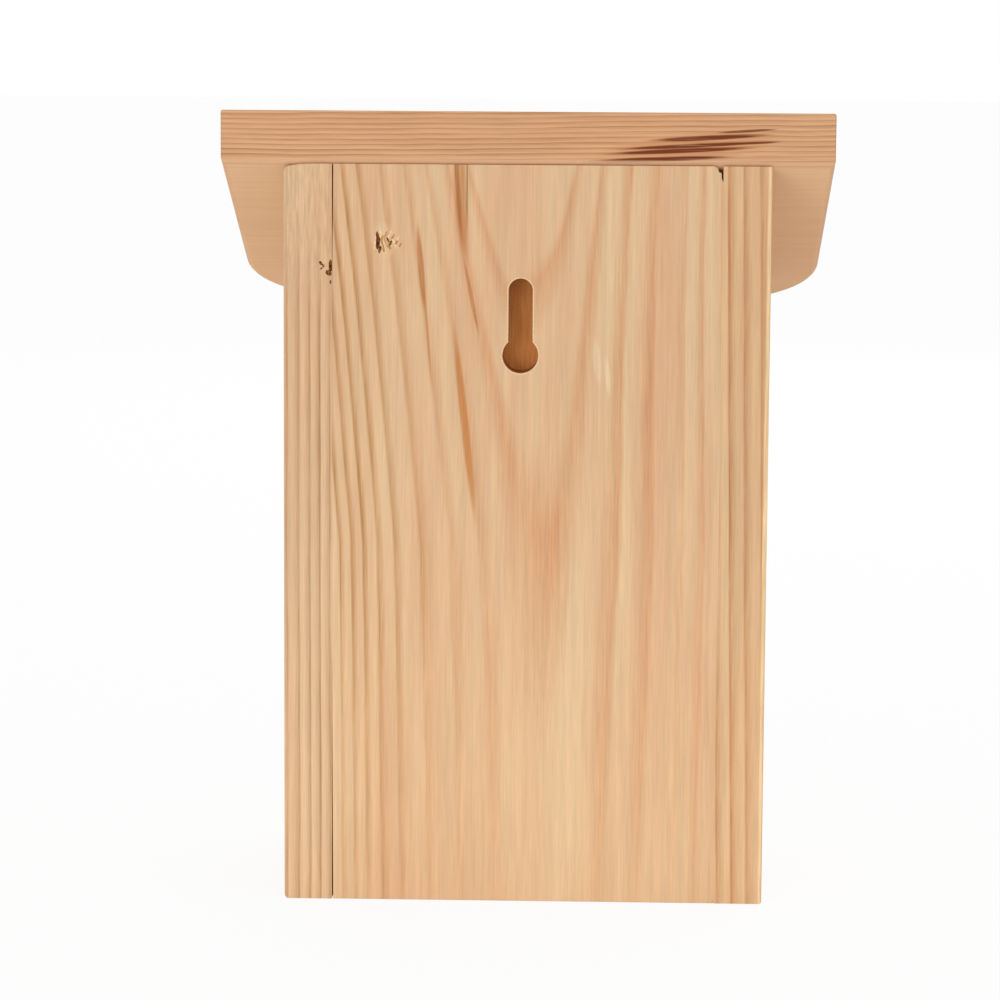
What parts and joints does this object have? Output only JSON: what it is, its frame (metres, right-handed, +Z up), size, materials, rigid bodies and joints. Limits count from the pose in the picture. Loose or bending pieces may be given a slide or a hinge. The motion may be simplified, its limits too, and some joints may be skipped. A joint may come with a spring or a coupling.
{
  "type": "bee hotel",
  "caption": "Wall-hung bee hotel: a pine box under a single-pitch roof, with a keyhole in its back and bored bamboo canes that draw out at the front.",
  "frame": {"origin": "middle of the overall box, on the surface that the hotel stands on", "axes": "+Z up, -Y out of the open front, +Y towards the wall that the back hangs on, +X to the right seen from the front"},
  "size_m": [0.1884, 0.116, 0.2466],
  "materials": {
    "roof_pine": "planed, untreated",
    "side_pine": "planed, untreated",
    "back_pine": "planed, untreated",
    "inner_pine": "planed, untreated",
    "bamboo": "natural cane, sawn ends",
    "nail_steel": "bright wire nail",
    "screw_steel": "zinc plated"
  },
  "bodies": {
    "carcass": {"roof": "roof_pine", "left_side": "side_pine", "right_side": "side_pine", "back_panel": "back_pine", "floor_panel": "inner_pine", "shelf": "inner_pine", "front_rail": "inner_pine", "side_nails": "nail_steel", "roof_screws": "screw_steel"},
    "cane_01": {"cane_01": "bamboo"},
    "cane_02": {"cane_02": "bamboo"},
    "cane_03": {"cane_03": "bamboo"},
    "cane_04": {"cane_04": "bamboo"},
    "cane_05": {"cane_05": "bamboo"},
    "cane_06": {"cane_06": "bamboo"},
    "cane_07": {"cane_07": "bamboo"},
    "cane_08": {"cane_08": "bamboo"},
    "cane_09": {"cane_09": "bamboo"},
    "cane_10": {"cane_10": "bamboo"},
    "cane_11": {"cane_11": "bamboo"},
    "cane_12": {"cane_12": "bamboo"},
    "cane_13": {"cane_13": "bamboo"},
    "cane_14": {"cane_14": "bamboo"},
    "cane_15": {"cane_15": "bamboo"},
    "cane_16": {"cane_16": "bamboo"},
    "cane_17": {"cane_17": "bamboo"},
    "cane_18": {"cane_18": "bamboo"},
    "cane_19": {"cane_19": "bamboo"},
    "cane_20": {"cane_20": "bamboo"},
    "cane_21": {"cane_21": "bamboo"},
    "cane_22": {"cane_22": "bamboo"},
    "cane_23": {"cane_23": "bamboo"},
    "cane_24": {"cane_24": "bamboo"},
    "cane_25": {"cane_25": "bamboo"},
    "cane_26": {"cane_26": "bamboo"},
    "cane_27": {"cane_27": "bamboo"},
    "cane_28": {"cane_28": "bamboo"},
    "cane_29": {"cane_29": "bamboo"},
    "cane_30": {"cane_30": "bamboo"},
    "cane_31": {"cane_31": "bamboo"},
    "cane_32": {"cane_32": "bamboo"},
    "cane_33": {"cane_33": "bamboo"},
    "cane_34": {"cane_34": "bamboo"},
    "cane_35": {"cane_35": "bamboo"},
    "cane_36": {"cane_36": "bamboo"},
    "cane_37": {"cane_37": "bamboo"},
    "cane_38": {"cane_38": "bamboo"},
    "cane_39": {"cane_39": "bamboo"},
    "cane_40": {"cane_40": "bamboo"},
    "cane_41": {"cane_41": "bamboo"},
    "cane_42": {"cane_42": "bamboo"},
    "cane_43": {"cane_43": "bamboo"},
    "cane_44": {"cane_44": "bamboo"},
    "cane_45": {"cane_45": "bamboo"},
    "cane_46": {"cane_46": "bamboo"},
    "cane_47": {"cane_47": "bamboo"},
    "cane_48": {"cane_48": "bamboo"},
    "cane_49": {"cane_49": "bamboo"}
  },
  "joints": [
    {"name": "cane_01_slide", "type": "slide", "parent": "carcass", "child": "cane_01", "axis": [0, -1, 0], "range_m": [0, 0.062]},
    {"name": "cane_02_slide", "type": "slide", "parent": "carcass", "child": "cane_02", "axis": [0, -1, 0], "range_m": [0, 0.062]},
    {"name": "cane_03_slide", "type": "slide", "parent": "carcass", "child": "cane_03", "axis": [0, -1, 0], "range_m": [0, 0.062]},
    {"name": "cane_04_slide", "type": "slide", "parent": "carcass", "child": "cane_04", "axis": [0, -1, 0], "range_m": [0, 0.062]},
    {"name": "cane_05_slide", "type": "slide", "parent": "carcass", "child": "cane_05", "axis": [0, -1, 0], "range_m": [0, 0.062]},
    {"name": "cane_06_slide", "type": "slide", "parent": "carcass", "child": "cane_06", "axis": [0, -1, 0], "range_m": [0, 0.062]},
    {"name": "cane_07_slide", "type": "slide", "parent": "carcass", "child": "cane_07", "axis": [0, -1, 0], "range_m": [0, 0.062]},
    {"name": "cane_08_slide", "type": "slide", "parent": "carcass", "child": "cane_08", "axis": [0, -1, 0], "range_m": [0, 0.062]},
    {"name": "cane_09_slide", "type": "slide", "parent": "carcass", "child": "cane_09", "axis": [0, -1, 0], "range_m": [0, 0.062]},
    {"name": "cane_10_slide", "type": "slide", "parent": "carcass", "child": "cane_10", "axis": [0, -1, 0], "range_m": [0, 0.062]},
    {"name": "cane_11_slide", "type": "slide", "parent": "carcass", "child": "cane_11", "axis": [0, -1, 0], "range_m": [0, 0.062]},
    {"name": "cane_12_slide", "type": "slide", "parent": "carcass", "child": "cane_12", "axis": [0, -1, 0], "range_m": [0, 0.062]},
    {"name": "cane_13_slide", "type": "slide", "parent": "carcass", "child": "cane_13", "axis": [0, -1, 0], "range_m": [0, 0.062]},
    {"name": "cane_14_slide", "type": "slide", "parent": "carcass", "child": "cane_14", "axis": [0, -1, 0], "range_m": [0, 0.062]},
    {"name": "cane_15_slide", "type": "slide", "parent": "carcass", "child": "cane_15", "axis": [0, -1, 0], "range_m": [0, 0.062]},
    {"name": "cane_16_slide", "type": "slide", "parent": "carcass", "child": "cane_16", "axis": [0, -1, 0], "range_m": [0, 0.062]},
    {"name": "cane_17_slide", "type": "slide", "parent": "carcass", "child": "cane_17", "axis": [0, -1, 0], "range_m": [0, 0.062]},
    {"name": "cane_18_slide", "type": "slide", "parent": "carcass", "child": "cane_18", "axis": [0, -1, 0], "range_m": [0, 0.062]},
    {"name": "cane_19_slide", "type": "slide", "parent": "carcass", "child": "cane_19", "axis": [0, -1, 0], "range_m": [0, 0.062]},
    {"name": "cane_20_slide", "type": "slide", "parent": "carcass", "child": "cane_20", "axis": [0, -1, 0], "range_m": [0, 0.062]},
    {"name": "cane_21_slide", "type": "slide", "parent": "carcass", "child": "cane_21", "axis": [0, -1, 0], "range_m": [0, 0.062]},
    {"name": "cane_22_slide", "type": "slide", "parent": "carcass", "child": "cane_22", "axis": [0, -1, 0], "range_m": [0, 0.062]},
    {"name": "cane_23_slide", "type": "slide", "parent": "carcass", "child": "cane_23", "axis": [0, -1, 0], "range_m": [0, 0.062]},
    {"name": "cane_24_slide", "type": "slide", "parent": "carcass", "child": "cane_24", "axis": [0, -1, 0], "range_m": [0, 0.062]},
    {"name": "cane_25_slide", "type": "slide", "parent": "carcass", "child": "cane_25", "axis": [0, -1, 0], "range_m": [0, 0.062]},
    {"name": "cane_26_slide", "type": "slide", "parent": "carcass", "child": "cane_26", "axis": [0, -1, 0], "range_m": [0, 0.062]},
    {"name": "cane_27_slide", "type": "slide", "parent": "carcass", "child": "cane_27", "axis": [0, -1, 0], "range_m": [0, 0.062]},
    {"name": "cane_28_slide", "type": "slide", "parent": "carcass", "child": "cane_28", "axis": [0, -1, 0], "range_m": [0, 0.062]},
    {"name": "cane_29_slide", "type": "slide", "parent": "carcass", "child": "cane_29", "axis": [0, -1, 0], "range_m": [0, 0.062]},
    {"name": "cane_30_slide", "type": "slide", "parent": "carcass", "child": "cane_30", "axis": [0, -1, 0], "range_m": [0, 0.062]},
    {"name": "cane_31_slide", "type": "slide", "parent": "carcass", "child": "cane_31", "axis": [0, -1, 0], "range_m": [0, 0.062]},
    {"name": "cane_32_slide", "type": "slide", "parent": "carcass", "child": "cane_32", "axis": [0, -1, 0], "range_m": [0, 0.062]},
    {"name": "cane_33_slide", "type": "slide", "parent": "carcass", "child": "cane_33", "axis": [0, -1, 0], "range_m": [0, 0.062]},
    {"name": "cane_34_slide", "type": "slide", "parent": "carcass", "child": "cane_34", "axis": [0, -1, 0], "range_m": [0, 0.062]},
    {"name": "cane_35_slide", "type": "slide", "parent": "carcass", "child": "cane_35", "axis": [0, -1, 0], "range_m": [0, 0.062]},
    {"name": "cane_36_slide", "type": "slide", "parent": "carcass", "child": "cane_36", "axis": [0, -1, 0], "range_m": [0, 0.062]},
    {"name": "cane_37_slide", "type": "slide", "parent": "carcass", "child": "cane_37", "axis": [0, -1, 0], "range_m": [0, 0.062]},
    {"name": "cane_38_slide", "type": "slide", "parent": "carcass", "child": "cane_38", "axis": [0, -1, 0], "range_m": [0, 0.062]},
    {"name": "cane_39_slide", "type": "slide", "parent": "carcass", "child": "cane_39", "axis": [0, -1, 0], "range_m": [0, 0.062]},
    {"name": "cane_40_slide", "type": "slide", "parent": "carcass", "child": "cane_40", "axis": [0, -1, 0], "range_m": [0, 0.062]},
    {"name": "cane_41_slide", "type": "slide", "parent": "carcass", "child": "cane_41", "axis": [0, -1, 0], "range_m": [0, 0.062]},
    {"name": "cane_42_slide", "type": "slide", "parent": "carcass", "child": "cane_42", "axis": [0, -1, 0], "range_m": [0, 0.062]},
    {"name": "cane_43_slide", "type": "slide", "parent": "carcass", "child": "cane_43", "axis": [0, -1, 0], "range_m": [0, 0.062]},
    {"name": "cane_44_slide", "type": "slide", "parent": "carcass", "child": "cane_44", "axis": [0, -1, 0], "range_m": [0, 0.062]},
    {"name": "cane_45_slide", "type": "slide", "parent": "carcass", "child": "cane_45", "axis": [0, -1, 0], "range_m": [0, 0.062]},
    {"name": "cane_46_slide", "type": "slide", "parent": "carcass", "child": "cane_46", "axis": [0, -1, 0], "range_m": [0, 0.062]},
    {"name": "cane_47_slide", "type": "slide", "parent": "carcass", "child": "cane_47", "axis": [0, -1, 0], "range_m": [0, 0.062]},
    {"name": "cane_48_slide", "type": "slide", "parent": "carcass", "child": "cane_48", "axis": [0, -1, 0], "range_m": [0, 0.062]},
    {"name": "cane_49_slide", "type": "slide", "parent": "carcass", "child": "cane_49", "axis": [0, -1, 0], "range_m": [0, 0.062]}
  ]
}
